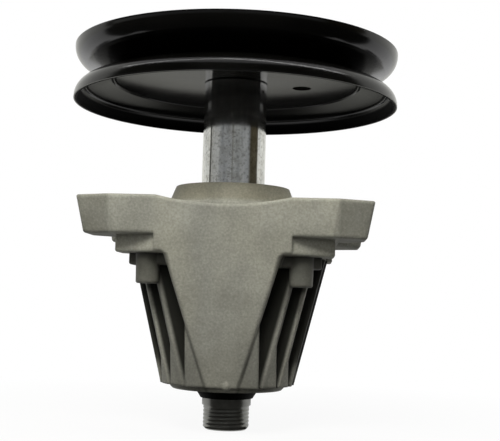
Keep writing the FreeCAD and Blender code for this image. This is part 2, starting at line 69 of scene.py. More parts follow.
# %% Camera
CAMERA_DISTANCE = 0.4821
CAMERA_DROP = 0.0463
CAMERA_SIDE_ANGLE = math.radians(4.7)
CAMERA_PAN = math.radians(1.05)
CAMERA_PITCH = math.radians(4.76)
CAMERA_ROLL = math.radians(1.70)
FOCAL_PIXELS = 983.3
IMAGE_WIDTH = 500
SENSOR_WIDTH_MM = 36.0
NEAREST_SEEN = 0.01


def camera_matrix():
    """Right, up and backward axes from pan, pitch and roll, at a place on a circle round the shaft."""
    heading = CAMERA_SIDE_ANGLE - CAMERA_PAN
    level_right = Vector((math.cos(heading), math.sin(heading), 0))
    level_forward = Vector((-math.sin(heading), math.cos(heading), 0))
    forward = level_forward * math.cos(CAMERA_PITCH) + Vector((0, 0, math.sin(CAMERA_PITCH)))
    level_up = level_right.cross(forward)
    right = level_right * math.cos(CAMERA_ROLL) + level_up * math.sin(CAMERA_ROLL)
    up = level_up * math.cos(CAMERA_ROLL) - level_right * math.sin(CAMERA_ROLL)
    turn = Matrix((right, up, -forward)).transposed().to_4x4()
    place = Vector((CAMERA_DISTANCE * math.sin(CAMERA_SIDE_ANGLE),
                    -CAMERA_DISTANCE * math.cos(CAMERA_SIDE_ANGLE), -CAMERA_DROP))
    return Matrix.Translation(place) @ turn


camera_data = bpy.data.cameras.new("studio_camera")
camera_data.sensor_fit = "HORIZONTAL"
camera_data.sensor_width = SENSOR_WIDTH_MM
camera_data.lens = SENSOR_WIDTH_MM * FOCAL_PIXELS / IMAGE_WIDTH
camera_data.clip_start = NEAREST_SEEN
camera = bpy.data.objects.new("studio_camera", camera_data)
camera.matrix_world = camera_matrix()
scene.collection.objects.link(camera)
scene.camera = camera
print("lens mm:", round(camera_data.lens, 1), "place:", [round(v, 3) for v in camera.location])

# %% [markdown]
# World, floor, reflections and finishes are small node trees, and the same few nodes come back in each.
# Short helpers make them, first a step of arithmetic and a change of range. A tree written with them
# reads nearly like the formula it stands for, where loose nodes and links would hide it.

# %% Node helpers


def feed(tree, socket, value):
    """Link an input to a socket, or set it to a plain number or colour."""
    if isinstance(value, tuple):
        socket.default_value = (*value, 1)
    elif isinstance(value, (int, float)):
        socket.default_value = value
    else:
        tree.links.new(value, socket)


def math_node(tree, operation, *values):
    """One Math node; each value is a socket or a number."""
    node = tree.nodes.new("ShaderNodeMath")
    node.operation = operation
    for socket, value in zip(node.inputs, values):
        feed(tree, socket, value)
    return node.outputs[0]


def map_range(tree, value, from_low, from_high, to_low=0.0, to_high=1.0, smooth=False):
    """Straight or smoothed line from one range of values to another, held at both ends."""
    node = tree.nodes.new("ShaderNodeMapRange")
    node.interpolation_type = "SMOOTHSTEP" if smooth else "LINEAR"
    feed(tree, node.inputs["From Min"], from_low)
    feed(tree, node.inputs["From Max"], from_high)
    feed(tree, node.inputs["To Min"], to_low)
    feed(tree, node.inputs["To Max"], to_high)
    tree.links.new(value, node.inputs["Value"])
    return node.outputs["Result"]


print("node helpers:", [f.__name__ for f in (feed, math_node, map_range)])

# %% [markdown]
# The world is white to the camera and to mirror-like surfaces, and a softer grey to everything else, so
# the picture has a clean background without more light on the metal.

# %% World
WORLD_WHITE = (1.0, 1.0, 1.0)
WORLD_SOFT_COLOUR = (1.0, 0.99, 0.96)
WORLD_SOFT_LEVEL = 0.06


def mix_to_output(tree, factor, first, second, output_kind):
    """Mix two shaders by a factor and send the result to the tree's output."""
    mix = tree.nodes.new("ShaderNodeMixShader")
    out = tree.nodes.new(output_kind)
    tree.links.new(factor, mix.inputs["Fac"])
    tree.links.new(first.outputs[0], mix.inputs[1])
    tree.links.new(second.outputs[0], mix.inputs[2])
    tree.links.new(mix.outputs[0], out.inputs["Surface"])


def make_world():
    """White for camera, glossy and transmission rays, grey for the light that falls on matt surfaces."""
    world = bpy.data.worlds.new("white_studio")
    world.use_nodes = True
    tree = world.node_tree
    tree.nodes.clear()
    path = tree.nodes.new("ShaderNodeLightPath")
    seen = math_node(tree, "MAXIMUM", path.outputs["Is Camera Ray"], path.outputs["Is Glossy Ray"])
    through = math_node(tree, "MAXIMUM", seen, path.outputs["Is Transmission Ray"])
    white = tree.nodes.new("ShaderNodeBackground")
    feed(tree, white.inputs["Color"], WORLD_WHITE)
    soft = tree.nodes.new("ShaderNodeBackground")
    feed(tree, soft.inputs["Color"], WORLD_SOFT_COLOUR)
    feed(tree, soft.inputs["Strength"], WORLD_SOFT_LEVEL)
    mix_to_output(tree, through, soft, white, "ShaderNodeOutputWorld")
    return world


scene.world = make_world()
print("world:", scene.world.name)

# %% [markdown]
# New shapes in this lesson are grids: a row and a column number give each point, and four neighbours
# make a face. Whole arrays of x, y and z are worked out at once, and one helper turns them into an
# object. A grid that runs once round joins its last column to its first.

# %% Objects from grids


def grid_object(name, x, y, z, closed=False):
    """An object from a grid of points; each face joins two neighbours of one row to the next row."""
    rows, columns = x.shape
    row = np.arange(rows - 1)[:, None] * columns
    column = np.arange(columns if closed else columns - 1)[None, :]
    here = row + column
    after = row + (column + 1) % columns
    faces = np.stack((here, after, after + columns, here + columns), axis=-1).reshape(-1, 4)
    points = np.stack((x, y, z), axis=-1).reshape(-1, 3)
    mesh = bpy.data.meshes.new(name)
    mesh.from_pydata(points.tolist(), [], faces.tolist())
    piece = bpy.data.objects.new(name, mesh)
    scene.collection.objects.link(piece)
    return piece


print("grid helper:", grid_object.__name__)

# %% [markdown]
# The floor is a plain white sheet just under the end of the shaft. Near the object a tenth of it is
# matt, which is enough to hold a soft shadow. Further out it turns to pure white, so that no horizon
# line cuts through the picture, as on the curved paper of a studio. White paper so close would light
# the underside of the casting too much, so the floor throws back less light than it shows.

# %% Floor
FLOOR_GAP = 0.0005
FLOOR_HEIGHT = solid_box[0][2] - FLOOR_GAP
FLOOR_HALF_SIZE = 6.0
FLOOR_NEAR = 0.06
FLOOR_FAR = 0.32
FLOOR_GLOW_SHARE = 0.9
FLOOR_MATT_LEVEL = 0.8
FLOOR_BOUNCE_LEVEL = 0.14


def make_floor():
    """One square: x and y run over a two by two grid, and z lies just under the end of the shaft."""
    side = (-FLOOR_HALF_SIZE, FLOOR_HALF_SIZE)
    x, y = np.meshgrid(side, side)
    return grid_object("studio_floor", x, y, np.full_like(x, FLOOR_HEIGHT))


def make_floor_material():
    """White seen directly or in a mirror, with a share of plain matt white that keeps the shadow."""
    material = bpy.data.materials.new("white_floor")
    material.use_nodes = True
    tree = material.node_tree
    tree.nodes.clear()
    path = tree.nodes.new("ShaderNodeLightPath")
    seen = math_node(tree, "MAXIMUM", path.outputs["Is Camera Ray"], path.outputs["Is Glossy Ray"])
    place = tree.nodes.new("ShaderNodeTexCoord")
    away = tree.nodes.new("ShaderNodeVectorMath")
    away.operation = "LENGTH"
    tree.links.new(place.outputs["Object"], away.inputs[0])
    fade = map_range(tree, away.outputs["Value"], FLOOR_NEAR, FLOOR_FAR, FLOOR_GLOW_SHARE, 1.0)
    glow_share = math_node(tree, "MULTIPLY", seen, fade)
    diffuse_ray = path.outputs["Is Diffuse Ray"]
    bounce = map_range(tree, diffuse_ray, 0.0, 1.0, FLOOR_MATT_LEVEL, FLOOR_BOUNCE_LEVEL)
    matt = tree.nodes.new("ShaderNodeBsdfDiffuse")
    tree.links.new(bounce, matt.inputs["Color"])
    glow = tree.nodes.new("ShaderNodeEmission")
    mix_to_output(tree, glow_share, matt, glow, "ShaderNodeOutputMaterial")
    return material


floor = make_floor()
floor.data.materials.append(make_floor_material())
print("floor at", round(FLOOR_HEIGHT, 4))

# %% [markdown]
# Polished metal is only as good as what it mirrors, so a studio puts benches, paper and dark gaps round
# the object. The next cells do the same with glowing pieces that only mirror rays see. One picture of a
# room would do it too, but plain pieces are easy to read and to move. Most of them change from one
# colour on the left to another on the right, as a place lit from one side does.

# %% Glow for reflections
# The Mix node has a set of sockets for each kind of data. These are the places of its colours.
MIX_FIRST_COLOUR = 6
MIX_SECOND_COLOUR = 7
MIX_RESULT_COLOUR = 2
REAR_HALF_WIDTH = 0.26


def mirror_only(piece):
    """Hide a stage piece from all but mirror rays."""
    piece.visible_camera = False
    piece.visible_diffuse = False
    piece.visible_shadow = False
    piece.visible_transmission = False
    return piece


def surface_place(tree):
    """X, Y and Z of a point of the surface in the object's own coordinates."""
    place = tree.nodes.new("ShaderNodeTexCoord")
    split = tree.nodes.new("ShaderNodeSeparateXYZ")
    tree.links.new(place.outputs["Object"], split.inputs[0])
    return split.outputs["X"], split.outputs["Y"], split.outputs["Z"]


def mix_colour(tree, factor, first, second, blend="MIX"):
    """Mix two colours; the factor and both colours are sockets or plain values."""
    node = tree.nodes.new("ShaderNodeMix")
    node.data_type = "RGBA"
    node.blend_type = blend
    feed(tree, node.inputs["Factor"], factor)
    feed(tree, node.inputs[MIX_FIRST_COLOUR], first)
    feed(tree, node.inputs[MIX_SECOND_COLOUR], second)
    return node.outputs[MIX_RESULT_COLOUR]


def glow_material(name):
    """A new material that only glows, with its node tree and the glow's colour input."""
    material = bpy.data.materials.new(name)
    material.use_nodes = True
    tree = material.node_tree
    tree.nodes.clear()
    glow = tree.nodes.new("ShaderNodeEmission")
    out = tree.nodes.new("ShaderNodeOutputMaterial")
    tree.links.new(glow.outputs[0], out.inputs["Surface"])
    return material, tree, glow.inputs["Color"]


def side_glow(name, left_colour, right_colour):
    """A glow that changes from the left side to the right over the width of the table."""
    material, tree, glow_colour = glow_material(name)
    x, _, _ = surface_place(tree)
    side = map_range(tree, x, -REAR_HALF_WIDTH, REAR_HALF_WIDTH)
    tree.links.new(mix_colour(tree, side, left_colour, right_colour), glow_colour)
    return material


print("glow helpers:", [f.__name__ for f in (mirror_only, mix_colour, glow_material, side_glow)])

# %% [markdown]
# On the floor lie a dark bench in front, a dark mat round the sides, and behind the object a dark strip
# with a grey table beyond it. The underside of the pulley mirrors them, so their edges become the edges
# of light and dark in the black sheet metal.

# %% Floor pieces for reflections
ROOM_RADIUS = 2.0
FLOOR_PIECE_REACH = 0.99 * ROOM_RADIUS
SECTOR_COLUMNS = 41
BENCH_ANGLE = math.radians(79)
BENCH_INNER = 0.002
BENCH_LIFT = 0.001
BENCH_COLOURS = (0.045, 0.045, 0.042), (0.020, 0.020, 0.018)
MAT_ANGLE = math.radians(100)
MAT_INNER = 0.20
MAT_LIFT = 0.002
NEAR_STRIP_START = 0.12
TABLE_START = 0.27
TABLE_END = 1.0
TABLE_COLOURS = (0.48, 0.48, 0.44), (0.24, 0.24, 0.22)


def floor_sector(name, half_angle, inner, lift):
    """A sector of the floor on the camera side, x = r sin(a), y = -r cos(a), turned with the camera."""
    angle = CAMERA_SIDE_ANGLE + np.linspace(-half_angle, half_angle, SECTOR_COLUMNS)
    a, r = np.meshgrid(angle, (inner, FLOOR_PIECE_REACH))
    z = np.full_like(a, FLOOR_HEIGHT + lift)
    return mirror_only(grid_object(name, r * np.sin(a), -r * np.cos(a), z))


def floor_strip(name, start, end):
    """A level strip behind the object: s across and t away from the camera, turned with the camera."""
    s, t = np.meshgrid((-REAR_HALF_WIDTH, REAR_HALF_WIDTH), (start, end))
    x = s * math.cos(CAMERA_SIDE_ANGLE) - t * math.sin(CAMERA_SIDE_ANGLE)
    y = s * math.sin(CAMERA_SIDE_ANGLE) + t * math.cos(CAMERA_SIDE_ANGLE)
    return mirror_only(grid_object(name, x, y, np.full_like(x, FLOOR_HEIGHT + BENCH_LIFT)))


bench_glow = side_glow("bench_glow", *BENCH_COLOURS)
bench = floor_sector("bench", BENCH_ANGLE, BENCH_INNER, BENCH_LIFT)
bench.data.materials.append(bench_glow)
mat = floor_sector("mat", MAT_ANGLE, MAT_INNER, MAT_LIFT)
mat.data.materials.append(bench_glow)
near_strip = floor_strip("near_strip", NEAR_STRIP_START, TABLE_START)
near_strip.data.materials.append(bench_glow)
table = floor_strip("table", TABLE_START, TABLE_END)
table.data.materials.append(side_glow("table_glow", *TABLE_COLOURS))
print("floor pieces:", [piece.name for piece in (bench, mat, near_strip, table)])

# %% [markdown]
# A thin bright line runs along the rim of the pulley in the picture. A long tube lamp would draw it on
# the real one. Here it is an arc overhead that comes down towards the sides, because a straight tube
# would only meet the round rim near the middle.

# %% Arc of light
RING_LIGHT_RADIUS = 1.31
RING_LIGHT_ANGLE = math.radians(95)
RING_LIGHT_FRONT = math.radians(72)
RING_LIGHT_SIDE = math.radians(41.5)
RING_LIGHT_HALF_WIDTH = math.radians(0.9)
RING_LIGHT_COLOURS = (14.0, 14.0, 14.0), (24.0, 24.0, 24.0)
RING_LIGHT_COLUMNS = 61


def make_ring_light():
    """A thin arc: R (cos e sin a, -cos e cos a, sin e), where e falls from the front to the sides."""
    angle = np.linspace(-RING_LIGHT_ANGLE, RING_LIGHT_ANGLE, RING_LIGHT_COLUMNS)
    a, half = np.meshgrid(angle, (-RING_LIGHT_HALF_WIDTH, RING_LIGHT_HALF_WIDTH))
    drop = 1 - np.cos(a / RING_LIGHT_ANGLE * np.pi / 2)
    e = RING_LIGHT_FRONT + (RING_LIGHT_SIDE - RING_LIGHT_FRONT) * drop + half
    x = RING_LIGHT_RADIUS * np.cos(e) * np.sin(a)
    y = -RING_LIGHT_RADIUS * np.cos(e) * np.cos(a)
    return mirror_only(grid_object("ring_light", x, y, RING_LIGHT_RADIUS * np.sin(e)))


ring_light = make_ring_light()
ring_light.data.materials.append(side_glow("ring_light_glow", *RING_LIGHT_COLOURS))
print("arc points:", len(ring_light.data.vertices))

# %% [markdown]
# One large round wall stands for the room. Behind the object it is white paper. A narrow dark gap
# stands on the left with a pale window beside it, a dim bluish room with one seam in front, and a brown
# gap on the right. Above and below this band the front is dark. The colours are a ramp over the compass
# angle, so each edge that the tube mirrors is one number.

# %% Room wall
ROOM_HEIGHT = 2.4
ROOM_COLUMNS = 192
PAPER = (0.92, 0.92, 0.88)
GAP = (0.03, 0.03, 0.025)
BROWN = (0.062, 0.052, 0.030)
SEAM = (0.16, 0.16, 0.15)
WINDOW = (0.50, 0.50, 0.48)
WINDOW_FAR = (0.46, 0.47, 0.47)
ROOM_LEFT = (0.28, 0.29, 0.30)
ROOM_BEFORE_SEAM = (0.30, 0.31, 0.32)
ROOM_AFTER_SEAM = (0.31, 0.32, 0.32)
ROOM_RIGHT = (0.33, 0.34, 0.35)
LOW_ROOM = [
    (0.00, PAPER), (0.235, PAPER), (0.243, GAP), (0.255, GAP), (0.264, WINDOW), (0.34, WINDOW_FAR),
    (0.38, ROOM_LEFT), (0.488, ROOM_BEFORE_SEAM), (0.493, SEAM), (0.499, SEAM), (0.504, ROOM_AFTER_SEAM),
    (0.66, ROOM_RIGHT), (0.684, BROWN), (0.772, BROWN), (0.782, PAPER), (1.00, PAPER),
]
HIGH_ROOM = [(0.00, PAPER), (0.235, PAPER), (0.26, GAP), (0.76, GAP), (0.785, PAPER), (1.00, PAPER)]
LOW_ROOM_BOTTOM = 0.16
LOW_ROOM_START = 0.22
LOW_ROOM_TOP = 0.42
HIGH_ROOM_START = 0.52


def make_room_wall():
    """x = R sin(a), y = -R cos(a), z from below the floor to the height; a runs once round."""
    angle = np.linspace(0, 2 * np.pi, ROOM_COLUMNS, endpoint=False)
    a, z = np.meshgrid(angle, (-ROOM_HEIGHT, ROOM_HEIGHT))
    x = ROOM_RADIUS * np.sin(a)
    y = -ROOM_RADIUS * np.cos(a)
    return mirror_only(grid_object("room_wall", x, y, z, closed=True))


def ramp(tree, source, stops):
    """Colour ramp from a value, given as (position, colour) pairs."""
    node = tree.nodes.new("ShaderNodeValToRGB")
    elements = node.color_ramp.elements
    while len(elements) < len(stops):
        elements.new(0.5)
    for element, (position, colour) in zip(elements, stops):
        element.position = position
        element.color = (*colour, 1)
    tree.links.new(source, node.inputs["Fac"])
    return node.outputs["Color"]


def make_room_material():
    """Glow by compass angle (0 and 1 behind the object, 0.5 the camera side), dark off the lit band."""
    material, tree, glow_colour = glow_material("room_glow")
    x, y, z = surface_place(tree)
    front = math_node(tree, "MULTIPLY", y, -1.0)
    turn = math_node(tree, "ARCTAN2", x, front)
    unit = math_node(tree, "MULTIPLY_ADD", turn, 1 / (2 * math.pi), 0.5)
    below = map_range(tree, z, LOW_ROOM_START, LOW_ROOM_BOTTOM)
    above = map_range(tree, z, LOW_ROOM_TOP, HIGH_ROOM_START)
    outside = math_node(tree, "MAXIMUM", below, above)
    colour = mix_colour(tree, outside, ramp(tree, unit, LOW_ROOM), ramp(tree, unit, HIGH_ROOM))
    tree.links.new(colour, glow_colour)
    return material


room_wall = make_room_wall()
room_wall.data.materials.append(make_room_material())
print("room wall points:", len(room_wall.data.vertices))

# %% [markdown]
# Soft lamps light the matt casting. The nearest hangs in front of the object, above the camera and a
# little to its left, so faces turned to the camera are brightest and the right sides fall off. The
# second fills in from further away, a narrow strip overhead draws the upper edges, and two more light
# the back. Mirror rays don't see them, because the room already gives the metal what it mirrors.

# %% Lamps
KEY_COLOUR = (1.0, 0.99, 0.94)
FRONT_COLOUR = (1.0, 0.99, 0.95)
STRIP_COLOUR = (1.0, 1.0, 1.0)
REAR_COLOUR = (1.0, 1.0, 0.97)
KEY_TARGET = (0.0, -0.04, -0.03)
OBJECT_MIDDLE = (0.0, 0.0, 0.0)
BROAD_SIZE = (0.5, 0.4)


def area_lamp(name, place, size, watts, colour, target=OBJECT_MIDDLE):
    """A rectangle of light at a place, facing a target and hidden from mirror rays."""
    data = bpy.data.lights.new(name, "AREA")
    data.shape = "RECTANGLE"
    data.size, data.size_y = size
    data.energy = watts
    data.color = colour
    lamp = bpy.data.objects.new(name, data)
    lamp.location = place
    lamp.rotation_euler = (Vector(target) - Vector(place)).to_track_quat("-Z", "Y").to_euler()
    lamp.visible_glossy = False
    scene.collection.objects.link(lamp)


area_lamp("key_lamp", place=(-0.05, -0.44, 0.33), size=(0.30, 0.20), watts=3.4,
          colour=KEY_COLOUR, target=KEY_TARGET)
area_lamp("front_lamp", place=(-0.10, -1.1, 0.22), size=BROAD_SIZE, watts=2.3, colour=FRONT_COLOUR)
area_lamp("strip_lamp", place=(0.0, -0.40, 1.25), size=(0.9, 0.035), watts=1.2, colour=STRIP_COLOUR)
for side, x in (("left", -0.85), ("right", 0.85)):
    area_lamp(f"rear_{side}_lamp", place=(x, 0.7, 0.35), size=BROAD_SIZE, watts=4.0, colour=REAR_COLOUR)

# %% [markdown]
# Several finishes share one effect: a slow change of tone with fine grain on top. It is built once as a
# node group with named inputs, and each finish sets its own scales. A group may only hand out values
# and colours, so the shader itself stays in each material.

# %% Shared tone and grain group
GROUP_INPUTS = (("Tone Scale", 40.0), ("Grain Scale", 1200.0), ("Fleck Level", 0.68))
GROUP_OUTPUTS = ("Tone", "Grain", "Fleck")
TONE_DETAIL = 3.0
GRAIN_DETAIL = 2.0
FLECK_FULL = 0.85


def make_tone_group():
    """Tone = slow noise, Grain = fine noise, Fleck = the rare peaks of the fine noise."""
    group = bpy.data.node_groups.new("tone_and_grain", "ShaderNodeTree")
    group.interface.new_socket("Vector", in_out="INPUT", socket_type="NodeSocketVector")
    for name, usual in GROUP_INPUTS:
        socket = group.interface.new_socket(name, in_out="INPUT", socket_type="NodeSocketFloat")
        socket.default_value = usual
    for name in GROUP_OUTPUTS:
        group.interface.new_socket(name, in_out="OUTPUT", socket_type="NodeSocketFloat")
    given = group.nodes.new("NodeGroupInput")
    result = group.nodes.new("NodeGroupOutput")
    slow = group.nodes.new("ShaderNodeTexNoise")
    slow.inputs["Detail"].default_value = TONE_DETAIL
    fine = group.nodes.new("ShaderNodeTexNoise")
    fine.inputs["Detail"].default_value = GRAIN_DETAIL
    peaks = group.nodes.new("ShaderNodeMapRange")
    peaks.inputs["From Max"].default_value = FLECK_FULL
    link = group.links.new
    link(given.outputs["Vector"], slow.inputs["Vector"])
    link(given.outputs["Vector"], fine.inputs["Vector"])
    link(given.outputs["Tone Scale"], slow.inputs["Scale"])
    link(given.outputs["Grain Scale"], fine.inputs["Scale"])
    link(fine.outputs["Fac"], peaks.inputs["Value"])
    link(given.outputs["Fleck Level"], peaks.inputs["From Min"])
    link(slow.outputs["Fac"], result.inputs["Tone"])
    link(fine.outputs["Fac"], result.inputs["Grain"])
    link(peaks.outputs["Result"], result.inputs["Fleck"])
    return group


tone_group = make_tone_group()
print("group outputs:", [s.name for s in tone_group.interface.items_tree if s.in_out == "OUTPUT"])

# %% [markdown]
# Each finish starts in the same way: a material with one shader, the point of the surface in the
# object's own coordinates, and the shared group. Object coordinates turn with the piece, so a pattern
# stays where it is when the spindle spins. A noise hardly ever leaves its middle range, so the two
# colours of a finish lie at the ends of that range.

# %% Helpers for finishes
NOISE_LOW = 0.3
NOISE_HIGH = 0.7
EVEN = (1, 1, 1)


def principled(name, metallic=0.0):
    """A new material with its node tree and Principled shader."""
    material = bpy.data.materials.new(name)
    material.use_nodes = True
    tree = material.node_tree
    shader = tree.nodes["Principled BSDF"]
    shader.inputs["Metallic"].default_value = metallic
    return material, tree, shader


def tone(tree, slow, fine, fleck, stretch=EVEN):
    """Outputs of the shared group with this finish's scales, its pattern stretched by a Mapping node."""
    place = tree.nodes.new("ShaderNodeTexCoord")
    mapping = tree.nodes.new("ShaderNodeMapping")
    mapping.inputs["Scale"].default_value = stretch
    tree.links.new(place.outputs["Object"], mapping.inputs["Vector"])
    node = tree.nodes.new("ShaderNodeGroup")
    node.node_tree = tone_group
    feed(tree, node.inputs["Tone Scale"], slow)
    feed(tree, node.inputs["Grain Scale"], fine)
    feed(tree, node.inputs["Fleck Level"], fleck)
    tree.links.new(mapping.outputs["Vector"], node.inputs["Vector"])
    return node.outputs


def two_tone(tree, value, dark, pale):
    """A colour from dark to pale over the middle range of a noise."""
    return ramp(tree, value, [(NOISE_LOW, dark), (NOISE_HIGH, pale)])


print("finish helpers:", [f.__name__ for f in (principled, tone, two_tone)])

# %% [markdown]
# Three more helpers weaken a mask, let a noise drive the roughness, and turn a height into a bump. The
# bump may start from softened edges: the Bevel node rounds the shading of an edge and leaves the mesh
# as it is.

# %% Helpers for masks, roughness and bump
EDGE_SAMPLES = 8


def share(tree, mask, most):
    """A mask made weaker, so that it covers at most a share."""
    return math_node(tree, "MULTIPLY", mask, most)


def roughness(tree, shader, value, low, high):
    """Roughness between two levels, driven by a noise."""
    tree.links.new(map_range(tree, value, 0.0, 1.0, low, high), shader.inputs["Roughness"])


def bump(tree, shader, height, strength, distance, edge_radius=0.0):
    """Bump from a height value into the shader's normal, with edges softened over a radius."""
    node = tree.nodes.new("ShaderNodeBump")
    if edge_radius > 0:
        edge = tree.nodes.new("ShaderNodeBevel")
        edge.samples = EDGE_SAMPLES
        edge.inputs["Radius"].default_value = edge_radius
        tree.links.new(edge.outputs["Normal"], node.inputs["Normal"])
    node.inputs["Strength"].default_value = strength
    node.inputs["Distance"].default_value = distance
    tree.links.new(height, node.inputs["Height"])
    tree.links.new(node.outputs["Normal"], shader.inputs["Normal"])


print("surface helpers:", [f.__name__ for f in (share, roughness, bump)])

# %% [markdown]
# The housing is an aluminium casting, blasted to a dull sandy grey on the outside. The pockets
# between the fins get a painted shade: their colour is darkened, as shade falls there. The depth of a
# point below the sloping outer envelope tells how far into a pocket it lies, so that one number drives
# the painted shade, whatever side the casting is seen from.

# %% Painted shade in the pockets of the casting
ENVELOPE_AT_FLANGE = 0.0535
ENVELOPE_SLOPE = 0.248
POCKET_TOP = -0.0185
POCKET_FOOT = -0.0853
POCKET_FADE = 0.003
POCKET_EDGE = 0.0002
POCKET_DARK_DEPTH = 0.0022


def axis_distance(tree, x, y):
    """Distance from the axis of the shaft: the root of x squared plus y squared."""
    x_squared = math_node(tree, "POWER", x, 2.0)
    y_squared = math_node(tree, "POWER", y, 2.0)
    return math_node(tree, "SQRT", math_node(tree, "ADD", x_squared, y_squared))


def pocket_shade_mask(tree):
    """Painted shade mask: 0 on the outer faces, 1 deep in the pockets; envelope radius at this height
    minus the radius.
    """
    x, y, z = surface_place(tree)
    envelope = math_node(tree, "MULTIPLY_ADD", z, ENVELOPE_SLOPE, ENVELOPE_AT_FLANGE)
    depth = math_node(tree, "SUBTRACT", envelope, axis_distance(tree, x, y))
    deep = map_range(tree, depth, POCKET_EDGE, POCKET_DARK_DEPTH, smooth=True)
    below = map_range(tree, z, POCKET_TOP, POCKET_TOP - POCKET_FADE)
    inside = math_node(tree, "GREATER_THAN", z, POCKET_FOOT)
    return math_node(tree, "MULTIPLY", deep, math_node(tree, "MULTIPLY", below, inside))


print("pockets are fully dark from a depth of", POCKET_DARK_DEPTH)

# %% [markdown]
# Painted shade also darkens the colour beside the flat V wall, most of all right under the steps, and
# on the fins that face sideways. A painted shade line runs along both slanted edges of the wall, with a
# darker painted margin inside their upper half. Below the screw bosses the outer fins are left out of it
# again. Paint by hand would do it for one view, but distances from the slanted edges hold for the front
# and the back alike.

# %% Painted shade under the steps of the casting
SHADE_TOP = -0.0252
SHADE_FOOT = -0.060
SHADE_LOW = 0.18
V_FOOT = -0.0855
V_FOOT_HALF_WIDTH = 0.0079
V_EDGE_SLOPE = 0.317
V_EDGE_FADE = 0.0006
EDGE_SHADE_HALF_WIDTH = 0.0013
EDGE_SHADE_SHARE = 0.55
STRIP_SLOPE = 0.20
STRIP_FOOT_HALF_WIDTH = 0.0119
MARGIN_SHADE_SHARE = 0.55
CLEAR_START = 0.0115
CLEAR_FADE = 0.002
CLEAR_SHARE = 0.9
BOSS_FOOT = -0.0405
SIDE_START = 0.018
SIDE_FADE = 0.006


def past_slant(tree, aside, height, slope, foot_half_width):
    """Distance sideways past a slanted line that starts at the foot of the V wall."""
    line = math_node(tree, "MULTIPLY_ADD", height, slope, foot_half_width)
    return math_node(tree, "SUBTRACT", aside, line)


def side_mask(tree, aside, y, height):
    """Painted shade on the fins that face sideways: 1 where x outweighs y, and 0 at the foot."""
    lead = math_node(tree, "SUBTRACT", aside, math_node(tree, "ABSOLUTE", y))
    flank = map_range(tree, lead, SIDE_START, SIDE_START + SIDE_FADE)
    above_foot = map_range(tree, height, SIDE_FADE, 2 * SIDE_FADE)
    return math_node(tree, "MULTIPLY", flank, above_foot)


def beside_wall_mask(tree, past, past_strip, z):
    """Painted shade beside the V wall just under the steps, less towards the foot and on the outer fins.
    """
    near = map_range(tree, past_strip, 0.0, EDGE_SHADE_HALF_WIDTH, 0.0, MARGIN_SHADE_SHARE)
    beside = math_node(tree, "MAXIMUM", map_range(tree, past, 0.0, V_EDGE_FADE), near)
    fade = map_range(tree, z, SHADE_FOOT, SHADE_TOP, SHADE_LOW, 1.0)
    clear = map_range(tree, past, CLEAR_START, CLEAR_START + CLEAR_FADE, 0.0, -CLEAR_SHARE)
    below_boss = map_range(tree, z, BOSS_FOOT, BOSS_FOOT - CLEAR_FADE)
    left = math_node(tree, "MULTIPLY_ADD", clear, below_boss, 1.0)
    return math_node(tree, "MULTIPLY", math_node(tree, "MULTIPLY", beside, fade), left)


def under_step_shade_mask(tree):
    """Painted shade below the steps: the strongest of three masks, beside the V wall, on the side fins
    and along the slanted edges.
    """
    x, y, z = surface_place(tree)
    aside = math_node(tree, "ABSOLUTE", x)
    height = math_node(tree, "SUBTRACT", z, V_FOOT)
    past = past_slant(tree, aside, height, V_EDGE_SLOPE, V_FOOT_HALF_WIDTH)
    past_strip = past_slant(tree, aside, height, STRIP_SLOPE, STRIP_FOOT_HALF_WIDTH)
    beside = beside_wall_mask(tree, past, past_strip, z)
    # Painted shade line along both slanted edges of the V wall.
    edge_shade = map_range(tree, math_node(tree, "ABSOLUTE", past), 0.0, EDGE_SHADE_HALF_WIDTH, EDGE_SHADE_SHARE, 0.0)
    reach = math_node(tree, "MAXIMUM", beside, side_mask(tree, aside, y, height))
    under = math_node(tree, "LESS_THAN", z, SHADE_TOP)
    return math_node(tree, "MULTIPLY", math_node(tree, "MAXIMUM", reach, edge_shade), under)


print("seam width:", 2 * EDGE_SHADE_HALF_WIDTH)

# %% [markdown]
# The blasted skin itself is a sandy grey with slow clouds, fine grain and a few pale flecks. The collar
# on top is brown with oil and carries a painted shade as well. The colour is painted darker towards the
# foot and on the ends of the ears, as painted shade. Cast edges are round, so the shading of sharp edges
# is softened over about two millimetres.

# %% Cast aluminium
SHADE_RAMP_TOP = 0.012
SHADE_RAMP_FLANGE = -V_FOOT / (SHADE_RAMP_TOP - V_FOOT)
OIL_AND_SHADE_COLLAR = SHADE_RAMP_FLANGE + 0.02
# Painted shade by height: darker towards the foot; the collar is brown with oil and painted darker as
# well.
SHADE_AND_OIL_STOPS = [
    (0.0, (0.67, 0.67, 0.67)), (0.36, (0.93, 0.93, 0.93)), (0.70, (0.91, 0.91, 0.90)),
    (0.80, (0.97, 0.97, 0.97)), (SHADE_RAMP_FLANGE, (0.98, 0.98, 0.97)),
    (OIL_AND_SHADE_COLLAR, (0.79, 0.76, 0.69)), (1.0, (0.66, 0.64, 0.58)),
]
# Painted shade on the ends of the ears.
EAR_END = 0.0507
EAR_END_FADE = 0.0014
EAR_END_SHADE_SHARE = 0.24
BLACK = (0.0, 0.0, 0.0)
CAST_COLOURS = (0.334, 0.334, 0.299), (0.422, 0.416, 0.355)
CLOUD_FACTORS = (0.84, 0.84, 0.83), (1.11, 1.11, 1.11)
GRAIN_FACTORS = (0.81, 0.81, 0.80), (1.09, 1.09, 1.09)
FLECK_COLOUR = (0.50, 0.49, 0.44)
FLECK_SHARE = 0.3
# Painted shade under the steps, beside the V wall and on the side fins: its colour and share.
UNDER_STEP_SHADE_COLOUR = (0.03, 0.03, 0.025)
UNDER_STEP_SHADE_SHARE = 0.96
# Painted shade in the pockets: its colour and share.
POCKET_SHADE_COLOUR = (0.010, 0.010, 0.008)
POCKET_SHADE_SHARE = 0.95
CAST_EDGE_RADIUS = 0.0022


